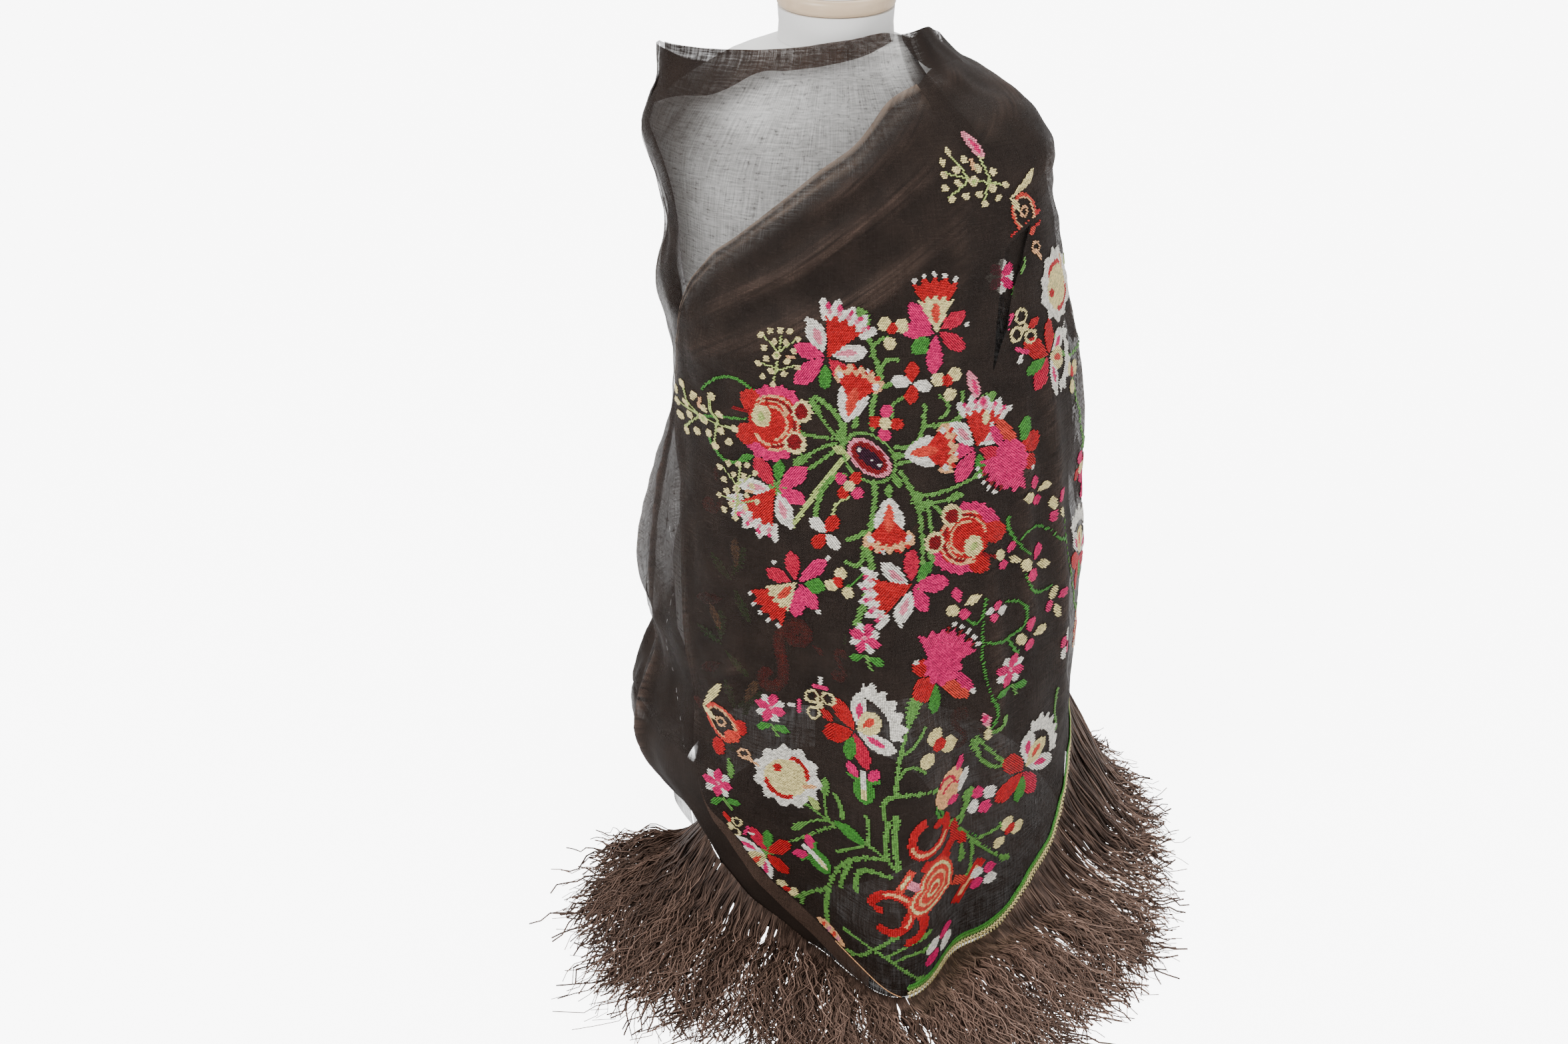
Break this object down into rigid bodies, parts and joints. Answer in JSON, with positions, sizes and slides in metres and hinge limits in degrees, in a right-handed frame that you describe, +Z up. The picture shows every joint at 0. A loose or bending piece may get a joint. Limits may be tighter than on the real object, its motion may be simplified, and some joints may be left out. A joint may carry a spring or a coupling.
{
  "type": "fringed shawl wrapped round a limbless dress form",
  "caption": "Sheer dark silk gauze shawl with floral embroidery and a long crimped fringe, wound once round a limbless dress form on a short stand.",
  "frame": {"origin": "centre of the stand's base, on its underside, where the part rests on a table", "axes": "+Z up along the form's axis, -Y to the front of the wrap, +X to the right-hand side of the picture"},
  "size_m": [0.7064, 0.7764, 0.9317],
  "materials": {
    "gauze": "sheer dark brown silk gauze, one layer",
    "doubled_gauze": "the same gauze folded double, with floss silk embroidery",
    "floss_silk": "untwisted floss silk in pinks, reds, creams and greens, stitched as flowers and as the hem's edging",
    "fringe": "crimped dark brown silk fringe",
    "jersey": "off-white knitted cover, smooth",
    "wood": "pale wood, satin varnish",
    "steel": "brushed steel post and flange"
  },
  "bodies": {
    "root": {"inner_front": "gauze", "inner_right": "gauze", "left_side": "gauze", "back_wrap": "gauze", "under_turn": "gauze", "shoulder_fold": "doubled_gauze", "neck_fold": "doubled_gauze", "top_fold": "doubled_gauze", "front_panel": "doubled_gauze", "side_fold": "doubled_gauze", "hem_border": "floss_silk", "fringe_left": "fringe", "fringe_front": "fringe", "fringe_right": "fringe", "fringe_side": "fringe", "form_torso": "jersey", "form_neck": "jersey", "form_cap": "jersey", "form_ring": "wood", "form_base": "wood", "form_flange": "steel", "form_post": "steel"}
  },
  "joints": []
}
